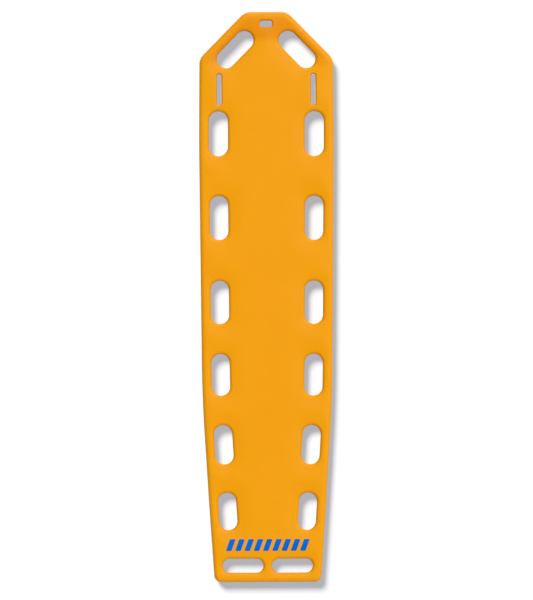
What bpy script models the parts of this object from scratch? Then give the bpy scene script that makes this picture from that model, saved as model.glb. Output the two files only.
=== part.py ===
"""Spine board: a hollow one-piece moulded carrying board with a foam core and two stiffener tubes.

Frame: X across the board, Y along it with the head end at +Y, Z up. The origin is at the bottom
centre, and the two runners under the board stand on z = 0. All sizes are in metres.
"""

import math

import bmesh
import bpy
from mathutils import Matrix, Vector

# Board
LENGTH = 1.830
THICKNESS = 0.045
RUNNER_HEIGHT = 0.014
SKIN = 0.004
EDGE_RADIUS = 0.010
GAP = 0.0003

# Right-hand outline from head to foot: half-width, distance from the head edge, corner radius
OUTLINE = [
    (0.0675, 0.0000, 0.045),
    (0.2140, 0.1490, 0.045),
    (0.2161, 0.4160, 10.0),
    (0.2087, 1.2335, 4.6),
    (0.1865, 1.5990, 6.0),
    (0.1706, LENGTH, 0.022),
]

# Openings on the right half: x, distance from the head edge, length, width, lean in degrees.
# At no lean the length lies along the board, and a positive lean turns the head end outwards.
# The foot handles stop just short of 90 so that their long sides are not all in one line.
HAND_HOLES = {
    "head_handle": (0.0993, 0.1205, 0.1435, 0.0594, -44.3),
    "hand_hole_1": (0.1540, 0.3906, 0.1442, 0.0612, 0.0),
    "hand_hole_2": (0.1526, 0.6609, 0.1416, 0.0587, 0.5),
    "hand_hole_3": (0.1510, 0.9320, 0.1387, 0.0584, 0.5),
    "hand_hole_4": (0.1490, 1.1646, 0.1340, 0.0583, 1.0),
    "hand_hole_5": (0.1401, 1.3893, 0.1260, 0.0584, 3.6),
    "hand_hole_6": (0.1279, 1.6031, 0.1200, 0.0573, 3.6),
    "foot_handle": (0.0793, 1.7775, 0.1305, 0.0450, 89.7),
}
STRAP_SLOT = (0.1510, 0.2484, 0.1000, 0.0155, 0.0)
HANGING_SLOT = (0.0, 0.0378, 0.0410, 0.0214, 90.0)
SLOT_CORNER_RADIUS = 0.0085
SLOT_LIP_RADIUS = 0.0045

# Runners on the underside, whose centre-lines close in towards the foot
RUNNER_WIDTH = 0.052
RUNNER_HEAD = (0.080, 0.215)
RUNNER_FOOT = (0.053, 1.725)
RUNNER_EDGE_RADIUS = 0.006
RUNNER_TOP = 0.027

# Shallow panels between the runners, and the plain ribs that separate them
PANEL_COUNT = 4
PANEL_DEPTH = 0.0035
PANEL_FIRST = 0.240
PANEL_LAST = 1.690
PANEL_RIB = 0.046
PANEL_MARGIN = 0.009
PANEL_CORNER_RADIUS = 0.012
PANEL_EDGE_RADIUS = 0.002

# Stiffener tubes and the bungs in their ends
TUBE_RADIUS = 0.010
TUBE_WALL = 0.002
TUBE_LENGTH = 1.380
TUBE_HEIGHT = SKIN + GAP + TUBE_RADIUS
BUNG_HEAD = 0.008
BUNG_SPIGOT = 0.022
CHAMFER = 0.001

# Port plugs on the centre-line: distance from the head edge, stem radius, flange radius, stem length
PORT_PLUGS = {
    "vent_plug_head": (0.178, 0.0080, 0.0115, 0.013),
    "fill_port_plug": (0.965, 0.0125, 0.0175, 0.016),
    "vent_plug_foot": (1.7215, 0.0080, 0.0115, 0.013),
}
FLANGE_THICKNESS = 0.0025

# Mould-in mark near the foot: equal bars that all lean the same way, in one row
MARK_FROM_HEAD = LENGTH - 0.1194
MARK_HEIGHT = 0.0385
MARK_BAR_COUNT = 9
MARK_BAR_WIDTH = 0.0185
MARK_PITCH = 0.0297
MARK_LEAN = 20.0
MARK_FILM = 0.0005
MARK_CORNER_RADIUS = 0.003

# Facets in a quarter turn of an outline, and across a rounded edge
OUTER_STEPS = 4
INNER_STEPS = 3
OUTER_EDGE_STEPS = 2
INNER_EDGE_STEPS = 1
ROUND_SIDES = 20

# How far a cutter runs past the face that it opens, and the least corner radius of a shrunk outline
OVERRUN = 0.002
LEAST_RADIUS = 0.001

# Points closer than this are one point, faces flatter than this (radians) are one face,
# and edges sharper than this (degrees) stay crisp
WELD = 0.00001
FLAT_ANGLE = 0.001
CRISP_ANGLE = 35

# Colours (linear) and roughness
PLASTIC_SKIN = ((0.913, 0.366, 0.011), 0.42)
PLASTIC_PLUG = ((0.030, 0.030, 0.032), 0.45)
FOAM = ((0.760, 0.640, 0.360), 0.90)
GLASS_FIBRE = ((0.560, 0.600, 0.430), 0.40)
MARK_BLUE = ((0.006, 0.138, 0.533), 0.40)


def clear_scene():
    for old in list(bpy.data.objects):
        bpy.data.objects.remove(old, do_unlink=True)


def make_collection(name):
    collection = bpy.data.collections.new(name)
    bpy.context.scene.collection.children.link(collection)
    return collection


def finish_part(solid, look):
    """Give a part its material and smooth its round faces."""
    colour, roughness = look
    material = bpy.data.materials.new(solid.name)
    material.use_nodes = True
    shader = material.node_tree.nodes["Principled BSDF"]
    shader.inputs["Base Color"].default_value = (*colour, 1.0)
    shader.inputs["Roughness"].default_value = roughness
    shader.inputs["Metallic"].default_value = 0.0
    solid.data.materials.append(material)
    solid.data.shade_smooth()
    solid.data.set_sharp_from_angle(angle=math.radians(CRISP_ANGLE))


def along(from_head):
    """The Y place of a point given by its distance from the head edge."""
    return LENGTH / 2 - from_head


def runner_x(from_head):
    """The X place of the right runner's centre-line."""
    share = (from_head - RUNNER_HEAD[1]) / (RUNNER_FOOT[1] - RUNNER_HEAD[1])
    return RUNNER_HEAD[0] + share * (RUNNER_FOOT[0] - RUNNER_HEAD[0])


def anticlockwise(corners):
    """The corners (x, y, radius), in anticlockwise order."""
    area = 0.0
    for here, there in zip(corners, corners[1:] + corners[:1]):
        area += here[0] * there[1] - there[0] * here[1]
    return corners if area > 0 else corners[::-1]


def grow(corners, distance):
    """A convex outline moved outwards by a distance, or inwards by a negative one."""
    corners = anticlockwise(corners)
    count = len(corners)
    points = [Vector(corner[:2]) for corner in corners]
    normals = []
    for index in range(count):
        run = (points[(index + 1) % count] - points[index]).normalized()
        normals.append(Vector((run.y, -run.x)))
    grown = []
    for index in range(count):
        before = normals[index - 1]
        after = normals[index]
        shift = (before + after) * distance / (1 + before.dot(after))
        place = points[index] + shift
        radius = max(corners[index][2] + distance, LEAST_RADIUS)
        grown.append((place.x, place.y, radius))
    return grown


def rounded(corners, quarter_steps):
    """The outline's points, with an arc at each corner."""
    corners = anticlockwise(corners)
    count = len(corners)
    outline = []
    for index in range(count):
        corner = Vector(corners[index][:2])
        radius = corners[index][2]
        into = (corner - Vector(corners[index - 1][:2])).normalized()
        out = (Vector(corners[(index + 1) % count][:2]) - corner).normalized()
        turn = math.atan2(into.cross(out), into.dot(out))
        start = corner - into * radius * math.tan(turn / 2)
        centre = start + Vector((-into.y, into.x)) * radius
        steps = max(2, round(quarter_steps * turn / (math.pi / 2)))
        for step in range(steps + 1):
            point = centre + Matrix.Rotation(turn * step / steps, 2) @ (start - centre)
            if not outline or (point - outline[-1]).length > WELD:
                outline.append(point)
    if (outline[0] - outline[-1]).length < WELD:
        outline.pop()
    return outline


def board_corners():
    right = [(x, along(from_head), radius) for x, from_head, radius in OUTLINE]
    left = [(-x, y, radius) for x, y, radius in reversed(right)]
    return right + left


def slot_corners(slot, side, corner_radius=None):
    """Four corners of a slot on the right (side 1) or left (side -1) half."""
    x, from_head, length, width, lean = slot
    radius = corner_radius or width / 2
    turn = Matrix.Rotation(-math.radians(lean), 2)
    corners = []
    for across, up in ((1, 1), (-1, 1), (-1, -1), (1, -1)):
        offset = turn @ Vector((across * width / 2, up * length / 2))
        corners.append((side * (x + offset.x), along(from_head) + offset.y, radius))
    return anticlockwise(corners)


def hand_holes():
    return [slot_corners(hole, side) for hole in HAND_HOLES.values() for side in (1, -1)]


def small_slots():
    strap_slots = [slot_corners(STRAP_SLOT, side) for side in (1, -1)]
    return strap_slots + [slot_corners(HANGING_SLOT, 1, SLOT_CORNER_RADIUS)]


def runner_corners(side):
    """A runner's outline: a long slot shape along its leaning centre-line."""
    head = Vector((RUNNER_HEAD[0], along(RUNNER_HEAD[1])))
    foot = Vector((RUNNER_FOOT[0], along(RUNNER_FOOT[1])))
    run = (head - foot).normalized()
    across = Vector((run.y, -run.x)) * RUNNER_WIDTH / 2
    corners = [head + across, head - across, foot - across, foot + across]
    return anticlockwise([(side * point.x, point.y, RUNNER_WIDTH / 2) for point in corners])


def panel_corners(number):
    """A shallow panel between the runners, tapering as they close in."""
    length = (PANEL_LAST - PANEL_FIRST - (PANEL_COUNT - 1) * PANEL_RIB) / PANEL_COUNT
    head = PANEL_FIRST + number * (length + PANEL_RIB)
    corners = []
    for from_head, side in ((head, 1), (head, -1), (head + length, -1), (head + length, 1)):
        half_width = runner_x(from_head) - RUNNER_WIDTH / 2 - PANEL_MARGIN
        corners.append((side * half_width, along(from_head), PANEL_CORNER_RADIUS))
    return anticlockwise(corners)


def mark_corners():
    """One outline for each leaning bar of the mark, from left to right."""
    lean = MARK_HEIGHT / 2 * math.tan(math.radians(MARK_LEAN))
    low = along(MARK_FROM_HEAD) - MARK_HEIGHT / 2
    high = low + MARK_HEIGHT
    bars = []
    for number in range(MARK_BAR_COUNT):
        middle = (number - (MARK_BAR_COUNT - 1) / 2) * MARK_PITCH
        left = middle - MARK_BAR_WIDTH / 2
        right = middle + MARK_BAR_WIDTH / 2
        corners = [(left - lean, low), (right - lean, low), (right + lean, high), (left + lean, high)]
        bars.append([(x, y, MARK_CORNER_RADIUS) for x, y in corners])
    return bars


def solid_object(name, mesh, collection):
    solid = bpy.data.objects.new(name, mesh)
    collection.objects.link(solid)
    return solid


def plate(name, outlines, low, high, collection, edge=0.0, edge_steps=1):
    """A flat plate between two heights, with its edges and the edges of its holes rounded."""
    curve = bpy.data.curves.new(name, "CURVE")
    curve.dimensions = "2D"
    curve.fill_mode = "BOTH"
    curve.extrude = (high - low) / 2 - edge
    curve.bevel_depth = edge
    curve.offset = -edge
    curve.bevel_resolution = edge_steps - 1
    for outline in outlines:
        spline = curve.splines.new("POLY")
        spline.use_cyclic_u = True
        spline.points.add(len(outline) - 1)
        for point, place in zip(spline.points, outline):
            point.co = (place.x, place.y, 0.0, 1.0)
    source = solid_object(name + "_outline", curve, collection)
    source.location.z = (high + low) / 2
    bpy.context.view_layer.update()
    evaluated = source.evaluated_get(bpy.context.evaluated_depsgraph_get())
    mesh = bpy.data.meshes.new_from_object(evaluated)
    weld = bmesh.new()
    weld.from_mesh(mesh)
    bmesh.ops.remove_doubles(weld, verts=weld.verts, dist=WELD)
    bmesh.ops.dissolve_limit(weld, angle_limit=FLAT_ANGLE, verts=weld.verts, edges=weld.edges)
    weld.to_mesh(mesh)
    weld.free()
    solid = solid_object(name, mesh, collection)
    solid.matrix_world = source.matrix_world
    bpy.data.objects.remove(source, do_unlink=True)
    return solid


def flared_slot(name, corners, low, high, lip, collection):
    """A slot-shaped cutter that opens out in a quarter round at both faces."""
    levels = [(low - OVERRUN, lip)]
    for step in range(INNER_STEPS + 1):
        angle = math.pi / 2 * step / INNER_STEPS
        levels.append((low + lip * (1 - math.cos(angle)), lip * (1 - math.sin(angle))))
    levels += [(low + high - height, growth) for height, growth in reversed(levels)]
    shape = bmesh.new()
    rings = []
    for height, growth in levels:
        outline = rounded(grow(corners, growth), INNER_STEPS)
        rings.append([shape.verts.new((point.x, point.y, height)) for point in outline])
    for lower, upper in zip(rings, rings[1:]):
        for index in range(len(lower)):
            ahead = (index + 1) % len(lower)
            shape.faces.new((lower[index], lower[ahead], upper[ahead], upper[index]))
    shape.faces.new(rings[0][::-1])
    shape.faces.new(rings[-1])
    mesh = bpy.data.meshes.new(name)
    shape.to_mesh(mesh)
    shape.free()
    return solid_object(name, mesh, collection)


def turned(name, profile, collection, ring=False):
    """A solid of revolution about Z, from a profile (radius, height) that runs down its outer side."""
    mesh = bpy.data.meshes.new(name)
    edges = [(index, index + 1) for index in range(len(profile) - 1)]
    if ring:
        edges.append((len(profile) - 1, 0))
    mesh.from_pydata([(radius, 0.0, height) for radius, height in profile], edges, [])
    solid = solid_object(name, mesh, collection)
    screw = solid.modifiers.new("turn", "SCREW")
    screw.steps = ROUND_SIDES
    screw.render_steps = ROUND_SIDES
    screw.use_merge_vertices = True
    screw.merge_threshold = WELD
    return solid


def combine(target, operand, operation):
    """Join an operand to the target, or cut it away; the operand stays behind as a guide."""
    boolean = target.modifiers.new(operand.name, "BOOLEAN")
    boolean.operation = operation
    boolean.object = operand
    operand.hide_render = True
    operand.display_type = "WIRE"


def board_form(name, inset, steps, edge_steps, collection, cutters):
    """The board's form with every surface, and every opening, moved inwards by an inset."""
    outlines = [rounded(grow(board_corners(), -inset), steps)]
    outlines += [rounded(grow(hole, inset), steps) for hole in hand_holes()]
    low = RUNNER_HEIGHT + inset
    high = THICKNESS - inset
    form = plate(name, outlines, low, high, collection, EDGE_RADIUS - inset, edge_steps)
    for side in (1, -1):
        outline = rounded(grow(runner_corners(side), -inset), steps)
        edge = RUNNER_EDGE_RADIUS - inset
        runner = plate(name + "_runner", [outline], inset, RUNNER_TOP, cutters, edge, edge_steps)
        combine(form, runner, "UNION")
    for number in range(PANEL_COUNT):
        outline = rounded(grow(panel_corners(number), inset), INNER_STEPS)
        top = RUNNER_HEIGHT + PANEL_DEPTH + inset
        bottom = RUNNER_HEIGHT - 2 * PANEL_EDGE_RADIUS
        panel = plate(name + "_panel", [outline], bottom, top, cutters, PANEL_EDGE_RADIUS)
        combine(form, panel, "DIFFERENCE")
    return form


def inner_form(name, inset, collection, cutters):
    """The form inside the skin, with a wall left standing around each small slot."""
    form = board_form(name, inset, INNER_STEPS, INNER_EDGE_STEPS, collection, cutters)
    for corners in small_slots():
        wall = plate(name + "_slot_wall", [rounded(grow(corners, inset), INNER_STEPS)], 0.0, THICKNESS, cutters)
        combine(form, wall, "DIFFERENCE")
    return form


def make_shell(parts, cutters):
    """The hollow skin, open only at its three ports."""
    shell = board_form("moulded_shell", 0.0, OUTER_STEPS, OUTER_EDGE_STEPS, parts, cutters)
    for corners in small_slots():
        slot = flared_slot("slot", corners, RUNNER_HEIGHT, THICKNESS, SLOT_LIP_RADIUS, cutters)
        combine(shell, slot, "DIFFERENCE")
    combine(shell, inner_form("cavity", SKIN, cutters, cutters), "DIFFERENCE")
    for from_head, stem_radius, _, _ in PORT_PLUGS.values():
        bottom = RUNNER_HEIGHT - OVERRUN
        port = round_cutter("port", stem_radius + GAP, bottom, bottom + SKIN + 2 * OVERRUN, cutters)
        port.location.y = along(from_head)
        combine(shell, port, "DIFFERENCE")
    for corners in mark_corners():
        outline = rounded(grow(corners, GAP), INNER_STEPS)
        floor = THICKNESS - MARK_FILM - GAP
        recess = plate("mark_recess", [outline], floor, THICKNESS + OVERRUN, cutters)
        combine(shell, recess, "DIFFERENCE")
    finish_part(shell, PLASTIC_SKIN)


def round_cutter(name, radius, low, high, cutters):
    return turned(name, [(0.0, high), (radius, high), (radius, low), (0.0, low)], cutters)


def runner_axis(side):
    """The direction of a runner's centre-line, towards the head, and its middle."""
    head = Vector((side * RUNNER_HEAD[0], along(RUNNER_HEAD[1]), TUBE_HEIGHT))
    foot = Vector((side * RUNNER_FOOT[0], along(RUNNER_FOOT[1]), TUBE_HEIGHT))
    return (head - foot).normalized(), (head + foot) / 2


def place_along(solid, direction, middle):
    """Turn a part so that its own Z runs in a level direction, with its own Y upright."""
    upright = Vector((0.0, 0.0, 1.0))
    across = upright.cross(direction)
    turn = Matrix((across, upright, direction)).transposed().to_4x4()
    solid.matrix_world = Matrix.Translation(middle) @ turn


def make_core(parts, cutters):
    """The foam filling, grooved from below for the tubes and pocketed for the plugs' stems."""
    core = inner_form("foam_core", SKIN + GAP, parts, cutters)
    half_width = TUBE_RADIUS + GAP
    half_length = TUBE_LENGTH / 2 + BUNG_HEAD + 2 * GAP
    floor = -TUBE_HEIGHT - OVERRUN
    arch = [(half_width, floor, CHAMFER), (half_width, half_width, half_width)]
    arch += [(-x, y, radius) for x, y, radius in reversed(arch)]
    for side in (1, -1):
        groove = plate("groove", [rounded(arch, OUTER_STEPS)], -half_length, half_length, cutters)
        place_along(groove, *runner_axis(side))
        combine(core, groove, "DIFFERENCE")
    for from_head, stem_radius, _, stem_length in PORT_PLUGS.values():
        pocket = round_cutter("pocket", stem_radius + GAP, 0.0, RUNNER_HEIGHT + stem_length, cutters)
        pocket.location.y = along(from_head)
        combine(core, pocket, "DIFFERENCE")
    finish_part(core, FOAM)


def make_stiffener(side, side_name, parts):
    """One tube lying in its runner, with a bung in each end."""
    direction, middle = runner_axis(side)
    half = TUBE_LENGTH / 2
    bore = TUBE_RADIUS - TUBE_WALL
    profile = [(TUBE_RADIUS, half), (TUBE_RADIUS, -half), (bore, -half), (bore, half)]
    tube = turned("stiffener_tube_" + side_name, profile, parts, ring=True)
    place_along(tube, direction, middle)
    finish_part(tube, GLASS_FIBRE)
    spigot = bore - GAP
    bung_profile = [
        (0.0, BUNG_HEAD + GAP),
        (TUBE_RADIUS - CHAMFER, BUNG_HEAD + GAP),
        (TUBE_RADIUS, BUNG_HEAD + GAP - CHAMFER),
        (TUBE_RADIUS, GAP),
        (spigot, GAP),
        (spigot, CHAMFER - BUNG_SPIGOT),
        (spigot - CHAMFER, -BUNG_SPIGOT),
        (0.0, -BUNG_SPIGOT),
    ]
    for end, end_name in ((1, "head"), (-1, "foot")):
        bung = turned("stiffener_bung_" + end_name + "_" + side_name, bung_profile, parts)
        place_along(bung, end * direction, middle + end * half * direction)
        finish_part(bung, PLASTIC_PLUG)


def make_port_plug(name, parts):
    """A push-in plug: a thin domed flange under the skin and a stem through the port."""
    from_head, stem_radius, flange_radius, stem_length = PORT_PLUGS[name]
    profile = [
        (0.0, stem_length - CHAMFER),
        (stem_radius - CHAMFER, stem_length - CHAMFER),
        (stem_radius, stem_length - 2 * CHAMFER),
        (stem_radius, 0.0),
        (flange_radius, 0.0),
        (flange_radius, -FLANGE_THICKNESS / 2),
        (flange_radius - 2 * CHAMFER, -FLANGE_THICKNESS),
        (0.0, -FLANGE_THICKNESS),
    ]
    plug = turned(name, profile, parts)
    plug.location = (0.0, along(from_head), RUNNER_HEIGHT - GAP)
    finish_part(plug, PLASTIC_PLUG)


def make_mark(parts):
    """The bars of the mark, each a film let flush into the lying face."""
    for number, corners in enumerate(mark_corners(), start=1):
        outline = rounded(corners, INNER_STEPS)
        name = "foot_mark_bar_" + str(number)
        bar = plate(name, [outline], THICKNESS - MARK_FILM, THICKNESS, parts)
        finish_part(bar, MARK_BLUE)


def main():
    clear_scene()
    parts = make_collection("spine_board")
    cutters = make_collection("cutters")
    make_shell(parts, cutters)
    make_core(parts, cutters)
    for side, side_name in ((1, "right"), (-1, "left")):
        make_stiffener(side, side_name, parts)
    for name in PORT_PLUGS:
        make_port_plug(name, parts)
    make_mark(parts)


main()
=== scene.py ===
"""Spine board: the finished surfaces, materials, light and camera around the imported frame.

Everything is in metres in the frame's own axes: X across the board, Y towards the head end, Z up.
"""

import math

import bmesh
import bpy
import numpy as np
from mathutils import Matrix, Vector, geometry, kdtree, noise


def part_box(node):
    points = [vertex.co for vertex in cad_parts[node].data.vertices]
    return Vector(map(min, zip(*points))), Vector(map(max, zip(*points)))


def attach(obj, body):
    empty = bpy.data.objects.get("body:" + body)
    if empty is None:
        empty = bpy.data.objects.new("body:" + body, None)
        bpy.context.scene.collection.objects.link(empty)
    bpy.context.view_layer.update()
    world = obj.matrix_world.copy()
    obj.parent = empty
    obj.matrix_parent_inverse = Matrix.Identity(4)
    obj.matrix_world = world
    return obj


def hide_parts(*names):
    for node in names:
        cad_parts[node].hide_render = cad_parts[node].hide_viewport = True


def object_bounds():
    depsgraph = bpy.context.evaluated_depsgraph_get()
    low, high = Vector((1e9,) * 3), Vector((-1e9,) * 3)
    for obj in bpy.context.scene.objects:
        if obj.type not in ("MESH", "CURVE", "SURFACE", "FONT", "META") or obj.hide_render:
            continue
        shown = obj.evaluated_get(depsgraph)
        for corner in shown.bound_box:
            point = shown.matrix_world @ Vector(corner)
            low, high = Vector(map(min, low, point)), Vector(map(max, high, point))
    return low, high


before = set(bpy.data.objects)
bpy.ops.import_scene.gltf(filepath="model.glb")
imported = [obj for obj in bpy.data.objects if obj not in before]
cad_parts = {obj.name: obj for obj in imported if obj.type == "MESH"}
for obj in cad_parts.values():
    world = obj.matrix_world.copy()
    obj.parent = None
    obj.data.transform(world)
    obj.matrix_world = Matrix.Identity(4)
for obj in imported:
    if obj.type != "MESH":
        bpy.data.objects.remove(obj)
cad_low, cad_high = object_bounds()

# Board, from the frame
LENGTH = cad_high.y - cad_low.y
THICKNESS = cad_high.z - cad_low.z

# Section
RUNNER_HEIGHT = 0.014
SKIN = 0.004
TOP_LIP = 0.010
EDGE_LIP = 0.013
UNDER_LIP = 0.008
WALL_DRAFT = 0.0007
INNER_LIP = 0.001
PARTING_HEIGHT = (THICKNESS + RUNNER_HEIGHT) / 2
PARTING_RIDGE = 0.0012

# The parting ridge: height as a share of PARTING_RIDGE, depth as a share of WALL_DRAFT
PARTING_PROFILE = [(1.0, 0.55), (0.45, 0.45), (0.2, 0.0), (-0.2, 0.0), (-0.45, 0.45), (-1.0, 0.55)]

# Right-hand outline from head to foot: half-width, distance from the head edge, corner radius
OUTLINE = [
    (0.0675, 0.0000, 0.045),
    (0.2140, 0.1490, 0.045),
    (0.2161, 0.4160, 10.0),
    (0.2087, 1.2335, 4.6),
    (0.1865, 1.5990, 6.0),
    (0.1706, LENGTH, 0.022),
]

# Openings on the centre-line and the right half: x, distance from the head edge, length, width and
# lean in degrees
HAND_HOLES = [
    (0.0993, 0.1205, 0.1435, 0.0594, -44.3),
    (0.1540, 0.3906, 0.1442, 0.0612, 0.0),
    (0.1526, 0.6609, 0.1416, 0.0587, 0.5),
    (0.1510, 0.9320, 0.1387, 0.0584, 0.5),
    (0.1490, 1.1646, 0.1340, 0.0583, 1.0),
    (0.1401, 1.3893, 0.1260, 0.0584, 3.6),
    (0.1279, 1.6031, 0.1200, 0.0573, 3.6),
    (0.0793, 1.7775, 0.1305, 0.0450, 89.7),
]
STRAP_SLOT = (0.1510, 0.2484, 0.1000, 0.0155, 0.0)
HANGING_SLOT = (0.0, 0.0378, 0.0410, 0.0214, 90.0)
HANGING_CORNER_RADIUS = 0.0085
SLOT_LIP = 0.0045

# Underside: runners, each from its head centre to its foot centre (x, distance from the head edge),
# the panels between them and the ports
RUNNER_WIDTH = 0.052
RUNNER_HEAD = (0.080, 0.215)
RUNNER_FOOT = (0.053, 1.725)
RUNNER_EDGE = 0.006
RUNNER_BASE_FILLET = 0.004
PANEL_COUNT = 4
PANEL_DEPTH = 0.0035
PANEL_FIRST = 0.240
PANEL_LAST = 1.690
PANEL_RIB = 0.046
PANEL_MARGIN = 0.009
PANEL_CORNER_RADIUS = 0.012
PANEL_LIP = 0.002
PORT_PLUGS = ["vent_plug_head", "fill_port_plug", "vent_plug_foot"]
PORT_GAP = 0.0003

# Relief of the lying face: how deep, and how far it reaches
EDGE_SINK = [(0.0006, 0.012), (0.0005, 0.030)]
HOLE_SINK = [(0.0006, 0.012), (0.0017, 0.027)]
DISH_DEPTH = 0.0005
WAVE_DEPTH = 0.00015
WAVE_LENGTH = 0.12

# The dish: from where to where it fades, from the head edge at either end and from the centre-line
DISH_HEAD = (0.065, 0.120)
DISH_FOOT = (1.66, 1.74)
DISH_SIDE = (0.085, 0.16)

# The margin of painted shade round the head, a deeper orange that stands in for shading: its depth, and from
# where to where it fades into the face, away from the head edge and over the outer lip
HEAD_MARGIN = 0.088
MARGIN_FADE = (-0.010, 0.012)
MARGIN_END = (0.135, 0.185)
MARGIN_LIP = (-0.004, 0.008)

# How high up the runners their wear reaches
WEAR_HEIGHT = 0.0035

# Mark near the foot
MARK_BAR_COUNT = 9
MARK_BAR_WIDTH = 0.0185
MARK_LEAN = 20.0
MARK_CORNER_RADIUS = 0.003
MARK_FILM_REST = 0.00006
MARK_FILM_THICKNESS = 0.00014

# The film's rounded edge, as shares of its thickness: how far its shoulder drops, and where its wall starts
FILM_SHOULDER = 0.15
FILM_WALL = 0.3

# Port plugs: the stem, the flange under the skin, and the ribs on the dished face; PLUG_MIDDLE is the
# radius of the flat left in the middle of both ends
STEM_TIP = 0.004
STEM_NECK = 0.0005
FLANGE_THICKNESS = 0.0025
PLUG_MIDDLE = 0.0004
PLUG_SIDES = 72
PLUG_RIBS = 12
PLUG_RIB_POINTS = 2
PLUG_RIB_HEIGHT = 0.0009
PLUG_DISH = 0.0014
PLUG_SHARP_ANGLE = 50.0

# The dished face: radius as a share of the flange's, and depth
PLUG_FACE = [
    (0.70, 0.0),
    (0.66, 0.0003),
    (0.63, 0.0012),
    (0.58, PLUG_DISH),
    (0.30, PLUG_DISH),
    (0.26, 0.0012),
    (0.23, 0.0005),
    (0.19, 0.0003),
]

# Colours (linear)
SKIN_MAIN = (0.745, 0.292, 0.0006)
SKIN_LIGHT = (0.755, 0.300, 0.0010)
# Painted shade: the deeper orange laid on the margin round the head
SKIN_PAINTED_SHADE = (0.705, 0.240, 0.0006)
SKIN_WORN = (0.820, 0.470, 0.110)
MARK_DEEP = (0.0, 0.106, 0.470)
MARK_LIGHT = (0.0, 0.122, 0.535)
PLUG_MAIN = (0.022, 0.022, 0.024)
PLUG_SCUFFED = (0.060, 0.060, 0.064)
FOAM_LIGHT = (0.800, 0.690, 0.410)
FOAM_DEEP = (0.700, 0.560, 0.280)
FIBRE_LIGHT = (0.600, 0.640, 0.470)
FIBRE_DEEP = (0.430, 0.480, 0.330)

# Lights as travel direction, strength and angular size in degrees: a soft key and two end fills that
# leave out the floor, a sun that only the floor receives, and an even surround
BOARD_LIGHTS = {
    "board_key": ((-0.35, -0.40, -1.0), 3.06, 30.0),
    "head_fill": ((0.0, -1.0, -0.36), 0.95, 50.0),
    "foot_fill": ((0.0, 1.0, -0.36), 0.95, 50.0),
}
FLOOR_LIGHTS = {"floor_sun": ((0.51, -0.83, -1.0), 16.5, 21.5)}
WORLD_STRENGTH = 0.15
FLOOR_WHITE = (0.155, 0.150, 0.140)
FLOOR_GLOW = (0.403, 0.421, 0.456)

# Floor: half its side, and the hair's breadth that it lies under the runners
FLOOR_HALF = 20.0
FLOOR_GAP = 0.0002

# Camera: straight down, a little to the foot side of the board's middle, and turned by CAMERA_ROLL
# degrees; VIEW_HEIGHT is what it sees at the lying face from the top of the picture to the bottom,
# and its sensor is in millimetres
CAMERA_HEIGHT = 14.0
VIEW_HEIGHT = 1.9248
CAMERA_X = -0.0013
CAMERA_Y = -0.0096
CAMERA_ROLL = -0.20
SENSOR_WIDTH = 36.0

# Mesh spacing along outlines: FINE is for the small slots and COARSE for the inside of the skin
ARC_SPACING = 0.0035
SIDE_SPACING = 0.006
FINE = {"arc_spacing": 0.002}
COARSE = {"arc_spacing": 0.010, "side_spacing": 0.030}
RUNNER_SIDE_SPACING = 0.014
PANEL_SIDE_SPACING = 0.010
MARK_ARC_SPACING = 0.001

# Mesh spacing across the areas between outlines
FACE_SPACING = 0.008
UNDER_SPACING = 0.013
INNER_SPACING = 0.020
MARK_SPACING = 0.004

# Steps round a lip, a runner's base fillet, the edge of its foot, a panel's lip and the shortest arc,
# and the sides of a port
LIP_STEPS = 7
RUNNER_BASE_STEPS = 5
RUNNER_EDGE_STEPS = 6
PANEL_STEPS = 4
LEAST_ARC_STEPS = 4
PORT_SIDES = 32

# A corner rounder than GENTLE_RADIUS is stepped like a side; no corner is sharper than LEAST_RADIUS
GENTLE_RADIUS = 1.0
LEAST_RADIUS = 1e-4

# How far a fill's own points stay from its edge, as a share of their spacing
FILL_CLEARANCE = 0.55

# Lengths that count as none
NO_SIDE = 1e-6
SAME_POINT = 1e-7

# The numbers of the Mix node's colour sockets
MIX_FIRST = 6
MIX_SECOND = 7
MIX_RESULT = 2


def along(from_head):
    """The Y place of a point given by its distance from the head edge."""
    return cad_high.y - from_head


def anticlockwise(corners):
    """The corners (x, y, radius), in anticlockwise order."""
    area = 0.0
    for here, there in zip(corners, corners[1:] + corners[:1]):
        area += here[0] * there[1] - there[0] * here[1]
    return corners if area > 0 else corners[::-1]


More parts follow.
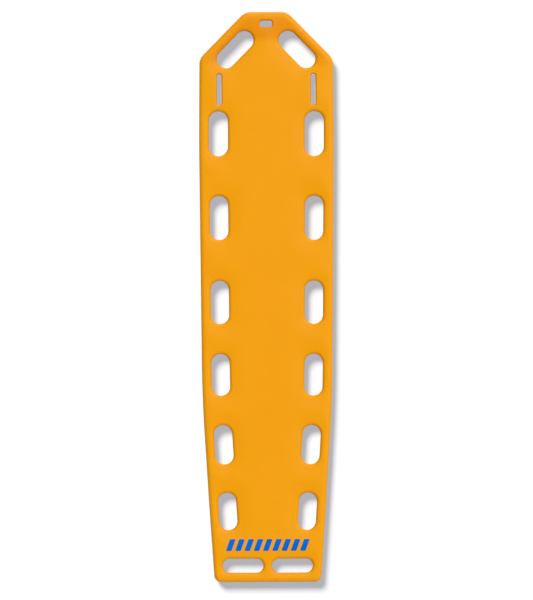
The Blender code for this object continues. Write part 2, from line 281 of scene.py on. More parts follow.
class Outline:
    """A convex outline with rounded corners, which keeps its point count when it is offset."""

    def __init__(self, corners, arc_spacing=ARC_SPACING, side_spacing=SIDE_SPACING):
        corners = anticlockwise(corners)
        self.places = [Vector(corner[:2]) for corner in corners]
        self.radii = [corner[2] for corner in corners]
        self.count = len(corners)
        self.runs = []
        for index in range(self.count):
            run = self.places[(index + 1) % self.count] - self.places[index]
            self.runs.append(run.normalized())
        self.turns = [self.runs[i - 1].angle(self.runs[i]) for i in range(self.count)]
        self.arc_steps = []
        self.side_steps = []
        for radius, turn in zip(self.radii, self.turns):
            spacing = side_spacing if radius > GENTLE_RADIUS else arc_spacing
            self.arc_steps.append(max(LEAST_ARC_STEPS, math.ceil(radius * turn / spacing)))
        for index in range(self.count):
            ahead = (index + 1) % self.count
            side = (self.places[ahead] - self.places[index]).length
            side -= self.tangent(index, self.radii[index]) + self.tangent(ahead, self.radii[ahead])
            self.side_steps.append(0 if side < NO_SIDE else math.ceil(side / side_spacing))

    def tangent(self, index, radius):
        """How far from its corner an arc starts and ends."""
        return radius * math.tan(self.turns[index] / 2)

    def points(self, distance=0.0):
        """The outline moved outwards by a distance, or inwards by a negative one."""
        arcs = []
        for index in range(self.count):
            into = self.runs[index - 1]
            out = self.runs[index]
            outward = Vector((into.y, -into.x)) + Vector((out.y, -out.x))
            corner = self.places[index] + outward * distance / (1 + into.dot(out))
            radius = max(self.radii[index] + distance, LEAST_RADIUS)
            start = corner - into * self.tangent(index, radius)
            centre = start + Vector((-into.y, into.x)) * radius
            steps = self.arc_steps[index]
            turns = [self.turns[index] * step / steps for step in range(steps + 1)]
            arcs.append([centre + Matrix.Rotation(turn, 2) @ (start - centre) for turn in turns])
        loop = []
        for index in range(self.count):
            steps = self.side_steps[index]
            arc = arcs[index]
            next_start = arcs[(index + 1) % self.count][0]
            if steps == 0:
                loop += arc[:-1]
            else:
                loop += arc
                loop += [arc[-1].lerp(next_start, step / steps) for step in range(1, steps)]
        return loop


def board_outline(**spacing):
    """The whole board: the right-hand corners and their mirror images."""
    right = [(x, along(from_head), radius) for x, from_head, radius in OUTLINE]
    return Outline(right + [(-x, y, radius) for x, y, radius in reversed(right)], **spacing)


def slot_outline(slot, side, corner_radius=None, **spacing):
    """A slot on the right (side 1) or left (side -1) half."""
    x, from_head, length, width, lean = slot
    radius = corner_radius or width / 2
    turn = Matrix.Rotation(-math.radians(lean), 2)
    corners = []
    for across, up in ((1, 1), (-1, 1), (-1, -1), (1, -1)):
        offset = turn @ Vector((across * width / 2, up * length / 2))
        corners.append((side * (x + offset.x), along(from_head) + offset.y, radius))
    return Outline(corners, **spacing)


def runner_x(from_head):
    """The X place of the right runner's centre-line."""
    share = (from_head - RUNNER_HEAD[1]) / (RUNNER_FOOT[1] - RUNNER_HEAD[1])
    return RUNNER_HEAD[0] + share * (RUNNER_FOOT[0] - RUNNER_HEAD[0])


def runner_outline(side, **spacing):
    """A runner with round ends, on the right (side 1) or left (side -1)."""
    head = Vector((RUNNER_HEAD[0], along(RUNNER_HEAD[1])))
    foot = Vector((RUNNER_FOOT[0], along(RUNNER_FOOT[1])))
    run = (head - foot).normalized()
    across = Vector((run.y, -run.x)) * RUNNER_WIDTH / 2
    corners = [head + across, head - across, foot - across, foot + across]
    return Outline([(side * point.x, point.y, RUNNER_WIDTH / 2) for point in corners], **spacing)


def panel_outline(number, **spacing):
    """A panel between the runners, numbered from the head."""
    length = (PANEL_LAST - PANEL_FIRST - (PANEL_COUNT - 1) * PANEL_RIB) / PANEL_COUNT
    head = PANEL_FIRST + number * (length + PANEL_RIB)
    corners = []
    for from_head, side in ((head, 1), (head, -1), (head + length, -1), (head + length, 1)):
        half_width = runner_x(from_head) - RUNNER_WIDTH / 2 - PANEL_MARGIN
        corners.append((side * half_width, along(from_head), PANEL_CORNER_RADIUS))
    return Outline(corners, **spacing)


def circle_points(centre, radius, count):
    """Evenly spaced points round a circle."""
    turns = [2 * math.pi * step / count for step in range(count)]
    return [centre + Vector((math.cos(turn), math.sin(turn))) * radius for turn in turns]


def add_ring(shape, points, height):
    """New mesh points at one height."""
    return [shape.verts.new((point.x, point.y, height)) for point in points]


def join_rings(shape, upper, lower):
    """A band of faces between two rings with the same number of points."""
    for index in range(len(upper)):
        ahead = (index + 1) % len(upper)
        shape.faces.new((upper[index], upper[ahead], lower[ahead], lower[index]))


def add_bands(shape, outline, rows, outwards):
    """Rings down an edge profile of (distance out of the material, height) rows."""
    rings = [add_ring(shape, outline.points(outwards * distance), height) for distance, height in rows]
    for upper, lower in zip(rings, rings[1:]):
        join_rings(shape, upper, lower)
    return rings[0], rings[-1]


def inside_loops(points, loops):
    """Which points lie inside an odd number of the loops."""
    inside = np.zeros(len(points), bool)
    for loop in loops:
        here = np.array([vert.co[:2] for vert in loop])
        there = np.roll(here, -1, axis=0)
        for (x0, y0), (x1, y1) in zip(here, there):
            if y0 != y1:
                crossed = (points[:, 1] > min(y0, y1)) & (points[:, 1] <= max(y0, y1))
                at = x0 + (points[:, 1] - y0) * (x1 - x0) / (y1 - y0)
                inside ^= crossed & (points[:, 0] < at)
    return inside


def grid_points(loops, edge_verts, spacing):
    """Evenly spaced points between loops, clear of the points on them."""
    tree = kdtree.KDTree(len(edge_verts))
    for index, vert in enumerate(edge_verts):
        tree.insert((vert.co.x, vert.co.y, 0.0), index)
    tree.balance()
    outer = np.array([vert.co[:2] for vert in loops[0]])
    low, high = outer.min(axis=0), outer.max(axis=0)
    row_height = spacing * math.sqrt(3) / 2
    grid = []
    for row in range(int((high[1] - low[1]) / row_height) + 1):
        shift = spacing / 2 if row % 2 else 0.0
        for column in range(int((high[0] - low[0]) / spacing) + 1):
            grid.append((low[0] + shift + column * spacing, low[1] + (row + 0.5) * row_height))
    grid = np.array(grid)
    between = grid[inside_loops(grid, loops)]
    clear = spacing * FILL_CLEARANCE
    return [Vector((x, y)) for x, y in between if tree.find((x, y, 0.0))[2] > clear]


def fill_between(shape, loops, spacing):
    """Fill the flat area between loops at one height with even triangles."""
    height = loops[0][0].co.z
    edge_verts = [vert for loop in loops for vert in loop]
    edges = []
    for loop in loops:
        start = len(edges)
        edges += [(start + i, start + (i + 1) % len(loop)) for i in range(len(loop))]
    coords = [Vector(vert.co[:2]) for vert in edge_verts] + grid_points(loops, edge_verts, spacing)
    filled = geometry.delaunay_2d_cdt(coords, edges, [], 0, SAME_POINT, True)
    places, _, faces, sources, _, _ = filled
    centres = np.array([[sum(places[i][axis] for i in face) / 3 for axis in (0, 1)] for face in faces])
    wanted = inside_loops(centres, loops)
    verts = {}
    for index, source in enumerate(sources):
        first = min(source) if source else len(coords)
        if first < len(edge_verts):
            verts[index] = edge_verts[first]
    for face, keep in zip(faces, wanted):
        if keep:
            for index in face:
                if index not in verts:
                    verts[index] = shape.verts.new((places[index].x, places[index].y, height))
            shape.faces.new([verts[index] for index in face])


def quarter(steps):
    """The angles that divide a quarter turn."""
    return [math.pi / 2 * step / steps for step in range(steps + 1)]


def lip_rows(wall, lip, height, down):
    """A quarter round from a flat face to a wall; down is -1 at the lying face and 1 at the underside."""
    return [
        (wall - lip + lip * math.sin(turn), height + down * lip * (1 - math.cos(turn)))
        for turn in quarter(LIP_STEPS)
    ]


def edge_rows(top_lip, under_lip):
    """The edge profile, with a slight draft on each side of the mould's parting ridge."""
    upper = lip_rows(-WALL_DRAFT, top_lip, THICKNESS, -1)
    lower = lip_rows(-WALL_DRAFT, under_lip, RUNNER_HEIGHT, 1)
    ridge = []
    for share, depth in PARTING_PROFILE:
        ridge.append((-depth * WALL_DRAFT, PARTING_HEIGHT + share * PARTING_RIDGE))
    return upper + ridge + lower[::-1]


def inner_rows(lip):
    """The same edge inside the skin, drawn plainly."""
    lip = max(lip - SKIN, INNER_LIP)
    top = THICKNESS - SKIN
    under = RUNNER_HEIGHT + SKIN
    return [(-SKIN - lip, top), (-SKIN, top - lip), (-SKIN, under + lip), (-SKIN - lip, under)]


def runner_rows():
    """From the underside down a runner's wall to the flat foot that it stands on."""
    base = [
        (RUNNER_BASE_FILLET * (1 - math.sin(turn)), RUNNER_HEIGHT - RUNNER_BASE_FILLET * (1 - math.cos(turn)))
        for turn in quarter(RUNNER_BASE_STEPS)
    ]
    foot = [
        (RUNNER_EDGE * (math.cos(turn) - 1), RUNNER_EDGE * (1 - math.sin(turn)))
        for turn in quarter(RUNNER_EDGE_STEPS)
    ]
    return base + foot


def panel_rows():
    """From the underside up over a lip to the panel's floor."""
    lip = [
        (PANEL_LIP * (math.sin(turn) - 1), RUNNER_HEIGHT + PANEL_LIP * (1 - math.cos(turn)))
        for turn in quarter(PANEL_STEPS)
    ]
    rest = PANEL_DEPTH - PANEL_LIP
    corner = [
        (rest * (1 - math.cos(turn)), RUNNER_HEIGHT + PANEL_LIP + rest * math.sin(turn))
        for turn in quarter(PANEL_STEPS)
    ]
    return lip + corner[1:]


def port_place(name):
    """A port's centre, its plug's stem radius and flange radius, from the plug on the centre-line."""
    low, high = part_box(name)
    centre = Vector(((low.x + high.x) / 2, (low.y + high.y) / 2))
    points = [vert.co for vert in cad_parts[name].data.vertices]
    stem_radius = max(abs(point.x) for point in points if point.z > high.z - STEM_TIP)
    return centre, stem_radius, (high.x - low.x) / 2


def add_outer_surface(shape, port_rings):
    """Everything of the skin that can be seen from outside."""
    lying_loops = []
    under_loops = []
    hand_holes = [slot_outline(hole, side) for hole in HAND_HOLES for side in (1, -1)]
    small_slots = [slot_outline(STRAP_SLOT, side, **FINE) for side in (1, -1)]
    small_slots.append(slot_outline(HANGING_SLOT, 1, HANGING_CORNER_RADIUS, **FINE))
    openings = [(board_outline(), EDGE_LIP, UNDER_LIP, 1)]
    openings += [(outline, TOP_LIP, UNDER_LIP, -1) for outline in hand_holes]
    openings += [(outline, SLOT_LIP, SLOT_LIP, -1) for outline in small_slots]
    for outline, top_lip, under_lip, outwards in openings:
        first, last = add_bands(shape, outline, edge_rows(top_lip, under_lip), outwards)
        lying_loops.append(first)
        under_loops.append(last)
    for side in (1, -1):
        runner = runner_outline(side, side_spacing=RUNNER_SIDE_SPACING)
        first, last = add_bands(shape, runner, runner_rows(), 1)
        under_loops.append(first)
        fill_between(shape, [last], UNDER_SPACING)
    for number in range(PANEL_COUNT):
        panel = panel_outline(number, side_spacing=PANEL_SIDE_SPACING)
        first, last = add_bands(shape, panel, panel_rows(), -1)
        under_loops.append(first)
        fill_between(shape, [last], UNDER_SPACING)
    fill_between(shape, lying_loops, FACE_SPACING)
    fill_between(shape, under_loops + port_rings, UNDER_SPACING)


def add_inner_surface(shape, port_rings):
    """The hollow inside the skin, a wall's thickness in from the outside."""
    top_loops = []
    under_loops = []
    openings = [(board_outline(**COARSE), EDGE_LIP, 1)]
    for hole in HAND_HOLES:
        openings += [(slot_outline(hole, side, **COARSE), TOP_LIP, -1) for side in (1, -1)]
    openings += [(slot_outline(STRAP_SLOT, side, **COARSE), SLOT_LIP, -1) for side in (1, -1)]
    openings.append((slot_outline(HANGING_SLOT, 1, HANGING_CORNER_RADIUS, **COARSE), SLOT_LIP, -1))
    for outline, lip, outwards in openings:
        first, last = add_bands(shape, outline, inner_rows(lip), outwards)
        top_loops.append(first)
        under_loops.append(last)
    under = RUNNER_HEIGHT + SKIN
    for side in (1, -1):
        rows = [(-SKIN, under), (-SKIN, RUNNER_EDGE), (-RUNNER_EDGE, SKIN)]
        first, last = add_bands(shape, runner_outline(side, **COARSE), rows, 1)
        under_loops.append(first)
        fill_between(shape, [last], INNER_SPACING)
    for number in range(PANEL_COUNT):
        rows = [(-SKIN, under), (-SKIN, under + PANEL_DEPTH)]
        first, last = add_bands(shape, panel_outline(number, **COARSE), rows, -1)
        under_loops.append(first)
        fill_between(shape, [last], INNER_SPACING)
    fill_between(shape, top_loops, INNER_SPACING)
    fill_between(shape, under_loops + port_rings, INNER_SPACING)


def slot_distance(points, slot, side):
    """How far points lie outside a round-ended slot's edge; negative inside it."""
    x, from_head, length, width, lean = slot
    turn = math.radians(lean) * side
    offset = points - np.array([side * x, along(from_head)])
    across = offset[:, 0] * math.cos(turn) - offset[:, 1] * math.sin(turn)
    up = offset[:, 0] * math.sin(turn) + offset[:, 1] * math.cos(turn)
    past_straight = np.maximum(np.abs(up) - (length - width) / 2, 0)
    return np.hypot(across, past_straight) - width / 2


def edge_lip_distance(points):
    """How far points lie inside the place where the outer lip starts to curve down."""
    outline = board_outline()
    from_sides = []
    for place, run in zip(outline.places, outline.runs):
        from_sides.append((points[:, 0] - place.x) * -run.y + (points[:, 1] - place.y) * run.x)
    return np.maximum(np.min(from_sides, axis=0) - EDGE_LIP, 0)


def hole_lip_distances(points):
    """Distances from where the lip of each hand hole starts to curve down."""
    pairs = [(hole, side) for hole in HAND_HOLES for side in (1, -1)]
    return [np.maximum(slot_distance(points, hole, side) - TOP_LIP, 0) for hole, side in pairs]


def smooth_step(values, start, end):
    """0 before the start, 1 past the end, and a smooth rise between them."""
    share = np.clip((values - start) / (end - start), 0, 1)
    return share * share * (3 - 2 * share)


def sink_depth(distance, sinks):
    """How deep the lying face sinks at a distance from a lip."""
    return sum(depth * np.exp(-((distance / reach) ** 2)) for depth, reach in sinks)


def relief(points):
    """How far the lying face sinks below flat at each (x, y)."""
    sinks = [sink_depth(distance, HOLE_SINK) for distance in hole_lip_distances(points)]
    sinks.append(sink_depth(edge_lip_distance(points), EDGE_SINK))
    sink = np.max(sinks, axis=0)
    from_head = cad_high.y - points[:, 1]
    dish = smooth_step(from_head, *DISH_HEAD) * (1 - smooth_step(from_head, *DISH_FOOT))
    sink += DISH_DEPTH * dish * (1 - smooth_step(np.abs(points[:, 0]), *DISH_SIDE))
    waves = [noise.noise((x / WAVE_LENGTH, y / WAVE_LENGTH, 0.0)) for x, y in points]
    return sink + WAVE_DEPTH * (1 + np.array(waves))


def mesh_points(mesh):
    """A mesh's points as an array of rows."""
    coords = np.zeros(len(mesh.vertices) * 3)
    mesh.vertices.foreach_get("co", coords)
    return coords.reshape(-1, 3)


def sink_face(mesh, first_count):
    """Lower the lying face, and less so the walls under it, by the relief."""
    coords = mesh_points(mesh)
    outer = coords[:first_count]
    weight = smooth_step(outer[:, 2], PARTING_HEIGHT + PARTING_RIDGE, THICKNESS)
    outer[:, 2] -= weight * relief(outer[:, :2])
    mesh.vertices.foreach_set("co", coords.ravel())


def shade_attribute(mesh):
    """A per-point mask of painted shade: a deeper orange on the margin round the head, standing in for
    shading.
    """
    points = mesh_points(mesh)[:, :2]
    from_head = cad_high.y - points[:, 1]
    x, handle_from_head, _, _, lean = HAND_HOLES[0]
    turn = math.radians(-lean)
    across = np.abs(points[:, 0]) - x
    up = handle_from_head - from_head
    past_handle = across * math.sin(turn) + up * math.cos(turn)
    margin = smooth_step(np.maximum(past_handle, HEAD_MARGIN - from_head), *MARGIN_FADE)
    margin *= 1 - smooth_step(from_head, *MARGIN_END)
    margin *= smooth_step(edge_lip_distance(points), *MARGIN_LIP)
    layer = mesh.attributes.new("painted_head_shade", "FLOAT", "POINT")
    layer.data.foreach_set("value", margin)


def finish_mesh(shape, name, material):
    """A smooth-shaded mesh, its faces pointing out, from a finished shape."""
    bmesh.ops.recalc_face_normals(shape, faces=shape.faces)
    mesh = bpy.data.meshes.new(name)
    shape.to_mesh(mesh)
    shape.free()
    mesh.shade_smooth()
    mesh.materials.append(material)
    return mesh


def add_piece(name, mesh, slot, *nodes):
    """Put a finished mesh in the scene in place of CAD nodes."""
    piece = bpy.data.objects.new(name, mesh)
    bpy.context.scene.collection.objects.link(piece)
    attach(piece, "root")
    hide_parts(*nodes)


def make_skin(material):
    """The hollow moulded skin, with its ports, openings, runners and relief."""
    shape = bmesh.new()
    outer_ports = []
    inner_ports = []
    for name in PORT_PLUGS:
        centre, stem_radius, _ = port_place(name)
        circle = circle_points(centre, stem_radius + PORT_GAP, PORT_SIDES)
        outer_ports.append(add_ring(shape, circle, RUNNER_HEIGHT))
        inner_ports.append(add_ring(shape, circle, RUNNER_HEIGHT + SKIN))
        join_rings(shape, outer_ports[-1], inner_ports[-1])
    add_outer_surface(shape, outer_ports)
    outer_count = len(shape.verts)
    add_inner_surface(shape, inner_ports)
    mesh = finish_mesh(shape, "board_skin", material)
    sink_face(mesh, outer_count)
    shade_attribute(mesh)
    add_piece("board_skin", mesh, "board_skin", "moulded_shell")


def node_material(name):
    """A new material, its nodes and its links."""
    material = bpy.data.materials.new(name)
    material.use_nodes = True
    return material, material.node_tree.nodes, material.node_tree.links


def noise_node(nodes, links, vector, scale, detail=2.0, roughness=0.5):
    """Clouds from 0 to 1; the greater the scale, the smaller they are."""
    texture = nodes.new("ShaderNodeTexNoise")
    texture.inputs["Scale"].default_value = scale
    texture.inputs["Detail"].default_value = detail
    texture.inputs["Roughness"].default_value = roughness
    links.new(vector, texture.inputs["Vector"])
    return texture.outputs["Fac"]


def spread(nodes, links, value, low, high, from_low=0.0, from_high=1.0):
    """Map a value from one range to another."""
    ranger = nodes.new("ShaderNodeMapRange")
    ranger.inputs["From Min"].default_value = from_low
    ranger.inputs["From Max"].default_value = from_high
    ranger.inputs["To Min"].default_value = low
    ranger.inputs["To Max"].default_value = high
    links.new(value, ranger.inputs["Value"])
    return ranger.outputs["Result"]


def mix_colours(nodes, links, share, first, second):
    """Blend two colours, each a plain colour or another node's output."""
    mixer = nodes.new("ShaderNodeMix")
    mixer.data_type = "RGBA"
    links.new(share, mixer.inputs["Factor"])
    for socket, colour in ((mixer.inputs[MIX_FIRST], first), (mixer.inputs[MIX_SECOND], second)):
        if isinstance(colour, tuple):
            socket.default_value = (*colour, 1.0)
        else:
            links.new(colour, socket)
    return mixer.outputs[MIX_RESULT]


def math_node(nodes, links, operation, first, second):
    """One calculation on two values, each a number or another node's output."""
    calculation = nodes.new("ShaderNodeMath")
    calculation.operation = operation
    for socket, value in zip(calculation.inputs, (first, second)):
        if isinstance(value, (int, float)):
            socket.default_value = value
        else:
            links.new(value, socket)
    return calculation.outputs[0]


def bump_node(nodes, links, height, distance, under=None):
    """Relief of a given depth, over another node's normal if there is one."""
    bump = nodes.new("ShaderNodeBump")
    bump.inputs["Distance"].default_value = distance
    links.new(height, bump.inputs["Height"])
    if under is not None:
        links.new(under, bump.inputs["Normal"])
    return bump.outputs["Normal"]


def stretched(nodes, links, vector, scale):
    """A texture's space, scaled axis by axis."""
    mapping = nodes.new("ShaderNodeMapping")
    mapping.inputs["Scale"].default_value = scale
    links.new(vector, mapping.inputs["Vector"])
    return mapping.outputs["Vector"]


def moulded_texture(nodes, links, vector, shader):
    """The slight orange peel and fine grain that a rotational mould leaves on polyethylene."""
    peel = noise_node(nodes, links, vector, scale=230.0, detail=2.0)
    grain = noise_node(nodes, links, vector, scale=1300.0, detail=3.0)
    normal = bump_node(nodes, links, peel, distance=0.00018)
    normal = bump_node(nodes, links, grain, distance=0.00007, under=normal)
    links.new(normal, shader.inputs["Normal"])


def runner_wear(nodes, links, vector):
    """How worn the skin is: streaks along the runners' feet, which slide over the ground."""
    split = nodes.new("ShaderNodeSeparateXYZ")
    links.new(vector, split.inputs["Vector"])
    near_ground = spread(nodes, links, split.outputs["Z"], low=1.0, high=0.0, from_high=WEAR_HEIGHT)
    lengthwise = stretched(nodes, links, vector, (420.0, 14.0, 420.0))
    streak = noise_node(nodes, links, lengthwise, scale=1.0, detail=5.0, roughness=0.65)
    streak = spread(nodes, links, streak, low=0.0, high=1.0, from_low=0.50, from_high=0.72)
    return math_node(nodes, links, "MULTIPLY", near_ground, streak)


def make_skin_material():
    """Moulded polyethylene: clouded colour, painted shade in a deeper orange round the head, and worn on the
    runners.
    """
    material, nodes, links = node_material("board_polyethylene")
    shader = nodes["Principled BSDF"]
    vector = nodes.new("ShaderNodeTexCoord").outputs["Object"]
    cloud = noise_node(nodes, links, vector, scale=9.0, detail=3.0)
    cloud = spread(nodes, links, cloud, low=0.0, high=1.0, from_low=0.3, from_high=0.7)
    # Painted shade: the margin round the head is mixed to a deeper orange
    head_shade = nodes.new("ShaderNodeAttribute")
    head_shade.attribute_name = "painted_head_shade"
    base = mix_colours(nodes, links, cloud, SKIN_LIGHT, SKIN_MAIN)
    colour = mix_colours(nodes, links, head_shade.outputs["Fac"], base, SKIN_PAINTED_SHADE)
    wear = runner_wear(nodes, links, vector)
    links.new(mix_colours(nodes, links, wear, colour, SKIN_WORN), shader.inputs["Base Color"])
    patches = noise_node(nodes, links, vector, scale=22.0, detail=4.0)
    gloss = spread(nodes, links, patches, low=0.36, high=0.46)
    dulled = spread(nodes, links, wear, low=0.0, high=0.25)
    links.new(math_node(nodes, links, "ADD", gloss, dulled), shader.inputs["Roughness"])
    shader.inputs["Specular IOR Level"].default_value = 0.08
    shader.inputs["Subsurface Weight"].default_value = 0.12
    shader.inputs["Subsurface Radius"].default_value = (1.0, 0.45, 0.12)
    shader.inputs["Subsurface Scale"].default_value = 0.004
    moulded_texture(nodes, links, vector, shader)
    return material


def make_mark_material():
    """The mark's film, slightly mottled, with the skin's own grain."""
    material, nodes, links = node_material("mark_film")
    shader = nodes["Principled BSDF"]
    vector = nodes.new("ShaderNodeTexCoord").outputs["Object"]
    mottle = noise_node(nodes, links, vector, scale=60.0, detail=4.0)
    share = spread(nodes, links, mottle, low=0.0, high=1.0, from_low=0.35, from_high=0.65)
    links.new(mix_colours(nodes, links, share, MARK_DEEP, MARK_LIGHT), shader.inputs["Base Color"])
    links.new(spread(nodes, links, mottle, low=0.36, high=0.46), shader.inputs["Roughness"])
    shader.inputs["Specular IOR Level"].default_value = 0.05
    moulded_texture(nodes, links, vector, shader)
    return material


def make_plug_material():
    """Black plastic, lighter where it is scuffed."""
    material, nodes, links = node_material("plug_plastic")
    shader = nodes["Principled BSDF"]
    vector = nodes.new("ShaderNodeTexCoord").outputs["Object"]
    scuff = noise_node(nodes, links, vector, scale=180.0, detail=5.0, roughness=0.65)
    share = spread(nodes, links, scuff, low=0.0, high=1.0, from_low=0.5, from_high=0.8)
    links.new(mix_colours(nodes, links, share, PLUG_MAIN, PLUG_SCUFFED), shader.inputs["Base Color"])
    links.new(spread(nodes, links, scuff, low=0.38, high=0.6), shader.inputs["Roughness"])
    links.new(bump_node(nodes, links, scuff, distance=0.00005), shader.inputs["Normal"])
    return material


def make_foam_material():
    """Polyurethane foam: fine cells, a little uneven in colour."""
    material, nodes, links = node_material("rigid_foam")
    shader = nodes["Principled BSDF"]
    vector = nodes.new("ShaderNodeTexCoord").outputs["Object"]
    cells = nodes.new("ShaderNodeTexVoronoi")
    cells.inputs["Scale"].default_value = 900.0
    links.new(vector, cells.inputs["Vector"])
    tone = noise_node(nodes, links, vector, scale=30.0, detail=3.0)
    links.new(mix_colours(nodes, links, tone, FOAM_LIGHT, FOAM_DEEP), shader.inputs["Base Color"])
    shader.inputs["Roughness"].default_value = 0.95
    normal = bump_node(nodes, links, cells.outputs["Distance"], distance=0.0004)
    links.new(normal, shader.inputs["Normal"])
    return material


def make_tube_material():
    """Pultruded glass fibre: long streaks along the tube."""
    material, nodes, links = node_material("glass_fibre")
    shader = nodes["Principled BSDF"]
    vector = nodes.new("ShaderNodeTexCoord").outputs["Object"]
    along_tube = stretched(nodes, links, vector, (900.0, 12.0, 900.0))
    streak = noise_node(nodes, links, along_tube, scale=1.0, detail=4.0)
    share = spread(nodes, links, streak, low=0.0, high=1.0, from_low=0.3, from_high=0.7)
    links.new(mix_colours(nodes, links, share, FIBRE_LIGHT, FIBRE_DEEP), shader.inputs["Base Color"])
    shader.inputs["Roughness"].default_value = 0.35
    links.new(bump_node(nodes, links, streak, distance=0.00008), shader.inputs["Normal"])
    return material


def make_floor_material():
    """A matt white floor that glows slightly, so that shadows on it stay pale."""
    material, nodes, _ = node_material("floor_white")
    shader = nodes["Principled BSDF"]
    shader.inputs["Base Color"].default_value = (*FLOOR_WHITE, 1.0)
    shader.inputs["Roughness"].default_value = 1.0
    shader.inputs["Specular IOR Level"].default_value = 0.0
    shader.inputs["Emission Color"].default_value = (*FLOOR_GLOW, 1.0)
    shader.inputs["Emission Strength"].default_value = 1.0
    return material


def make_mark_bar(number, material):
    """One bar of the mark: a thin film that follows the lying face's relief."""
    name = "foot_mark_bar_" + str(number)
    low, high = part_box(name)
    lean = (high.y - low.y) * math.tan(math.radians(MARK_LEAN))
    middle = (low.x + high.x) / 2
    corners = []
    for side, end in ((-1, -1), (1, -1), (1, 1), (-1, 1)):
        x = middle + side * MARK_BAR_WIDTH / 2 + end * lean / 2
        y = (low.y + high.y) / 2 + end * (high.y - low.y) / 2
        corners.append((x, y, MARK_CORNER_RADIUS))
    outline = Outline(corners, arc_spacing=MARK_ARC_SPACING, side_spacing=MARK_SPACING)
    top = THICKNESS + MARK_FILM_REST + MARK_FILM_THICKNESS
    base = THICKNESS + MARK_FILM_REST
    edge = MARK_FILM_THICKNESS
    shape = bmesh.new()
    shoulder = top - edge * FILM_SHOULDER
    rows = [(-2 * edge, top), (-edge, shoulder), (0.0, base + edge * FILM_WALL), (0.0, base)]
    first, last = add_bands(shape, outline, rows, 1)
    fill_between(shape, [first], MARK_SPACING)
    fill_between(shape, [last], MARK_SPACING)
    mesh = finish_mesh(shape, "mark_film_" + str(number), material)
    coords = mesh_points(mesh)
    coords[:, 2] -= relief(coords[:, :2])
    mesh.vertices.foreach_set("co", coords.ravel())
    add_piece("mark_film_" + str(number), mesh, "mark_film", name)


def plug_rows(stem, flange, top, seat, under):
    """A plug's turned profile of (radius, height), from the tip of its stem to the middle of its face."""
    neck = stem - STEM_NECK
    stem_rows = [
        (PLUG_MIDDLE, top),
        (stem - 0.0020, top),
        (stem - 0.0008, top - 0.0006),
        (stem, top - 0.0030),
        (neck, top - 0.0036),
        (neck, seat + 0.0012),
        (stem, seat + 0.0006),
        (stem, seat),
    ]
    rim_rows = [
        (flange - 0.0003, seat),
        (flange, seat - 0.0003),
        (flange, under + 0.0013),
        (flange - 0.0005, under + 0.0005),
        (flange - 0.0016, under),
    ]
    face_rows = [(flange * share, under + depth) for share, depth in PLUG_FACE]
    return stem_rows + rim_rows + face_rows + [(PLUG_MIDDLE, face_rows[-1][1])]


def make_plug(name, material):
    """A push-in plug: a flange with a dished, ribbed face, and its stem."""
    low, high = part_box(name)
    centre, stem, flange = port_place(name)
    rows = plug_rows(stem, flange, high.z, low.z + FLANGE_THICKNESS, low.z)
    shape = bmesh.new()
    rings = [add_ring(shape, circle_points(centre, radius, PLUG_SIDES), height) for radius, height in rows]
    for upper, lower in zip(rings, rings[1:]):
        join_rings(shape, upper, lower)
    shape.faces.new(rings[0])
    shape.faces.new(rings[-1])
    for ring, (_, height) in zip(rings, rows):
        if height == low.z + PLUG_DISH:
            for index, vert in enumerate(ring):
                if index % (PLUG_SIDES // PLUG_RIBS) < PLUG_RIB_POINTS:
                    vert.co.z -= PLUG_RIB_HEIGHT
    mesh = finish_mesh(shape, "port_" + name, material)
    mesh.set_sharp_from_angle(angle=math.radians(PLUG_SHARP_ANGLE))
    add_piece("port_" + name, mesh, "plug_plastic", name)


def make_floor(material):
    """A wide flat floor, which isn't part of the board."""
    shape = bmesh.new()
    bmesh.ops.create_grid(shape, x_segments=2, y_segments=2, size=FLOOR_HALF)
    mesh = bpy.data.meshes.new("floor")
    shape.to_mesh(mesh)
    shape.free()
    mesh.materials.append(material)
    floor = bpy.data.objects.new("floor", mesh)
    floor.location.z = cad_low.z - FLOOR_GAP
    bpy.context.scene.collection.objects.link(floor)
    return floor


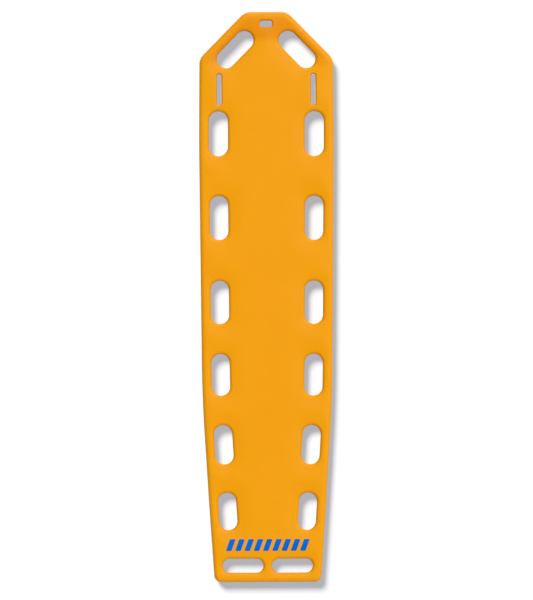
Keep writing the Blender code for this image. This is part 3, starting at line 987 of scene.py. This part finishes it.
def make_sun(name, travel, strength, angle, floor, link_state):
    """A sun that shines along a direction, and reaches only the floor, or everything but the floor."""
    data = bpy.data.lights.new(name, "SUN")
    data.energy = strength
    data.angle = math.radians(angle)
    sun = bpy.data.objects.new(name, data)
    bpy.context.scene.collection.objects.link(sun)
    sun.rotation_euler = Vector(travel).to_track_quat("-Z", "Y").to_euler()
    receivers = bpy.data.collections.new(name + "_receivers")
    receivers.objects.link(floor)
    receivers.collection_objects[0].light_linking.link_state = link_state
    sun.light_linking.receiver_collection = receivers


def make_lights(floor):
    """The suns and the even surround."""
    for lights, link_state in ((BOARD_LIGHTS, "EXCLUDE"), (FLOOR_LIGHTS, "INCLUDE")):
        for name, (travel, strength, angle) in lights.items():
            make_sun(name, travel, strength, angle, floor, link_state)
    world = bpy.data.worlds.new("studio")
    world.use_nodes = True
    background = world.node_tree.nodes["Background"]
    background.inputs["Color"].default_value = (1.0, 1.0, 1.0, 1.0)
    background.inputs["Strength"].default_value = WORLD_STRENGTH
    bpy.context.scene.world = world


def make_camera():
    """A long lens far above the board, which sees it almost without perspective."""
    data = bpy.data.cameras.new("camera")
    data.sensor_width = SENSOR_WIDTH
    data.clip_end = 4 * CAMERA_HEIGHT
    data.lens = SENSOR_WIDTH * CAMERA_HEIGHT / VIEW_HEIGHT
    camera = bpy.data.objects.new("camera", data)
    bpy.context.scene.collection.objects.link(camera)
    camera.location = (CAMERA_X, CAMERA_Y, THICKNESS + CAMERA_HEIGHT)
    camera.rotation_euler = (0.0, 0.0, math.radians(CAMERA_ROLL))
    bpy.context.scene.camera = camera


def main():
    """Build the board's pieces, then the floor, lights and camera."""
    skin_material = make_skin_material()
    make_skin(skin_material)
    mark_material = make_mark_material()
    for number in range(1, MARK_BAR_COUNT + 1):
        make_mark_bar(number, mark_material)
    plug_material = make_plug_material()
    for name in PORT_PLUGS:
        make_plug(name, plug_material)
    carried = {
        "foam_core": make_foam_material(),
        "stiffener_tube": make_tube_material(),
        "stiffener_bung": plug_material,
    }
    for node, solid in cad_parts.items():
        for start, material in carried.items():
            if node.startswith(start):
                solid.data.materials.clear()
                solid.data.materials.append(material)
    floor = make_floor(make_floor_material())
    make_lights(floor)
    make_camera()
    bpy.context.scene.view_settings.view_transform = "Standard"


main()
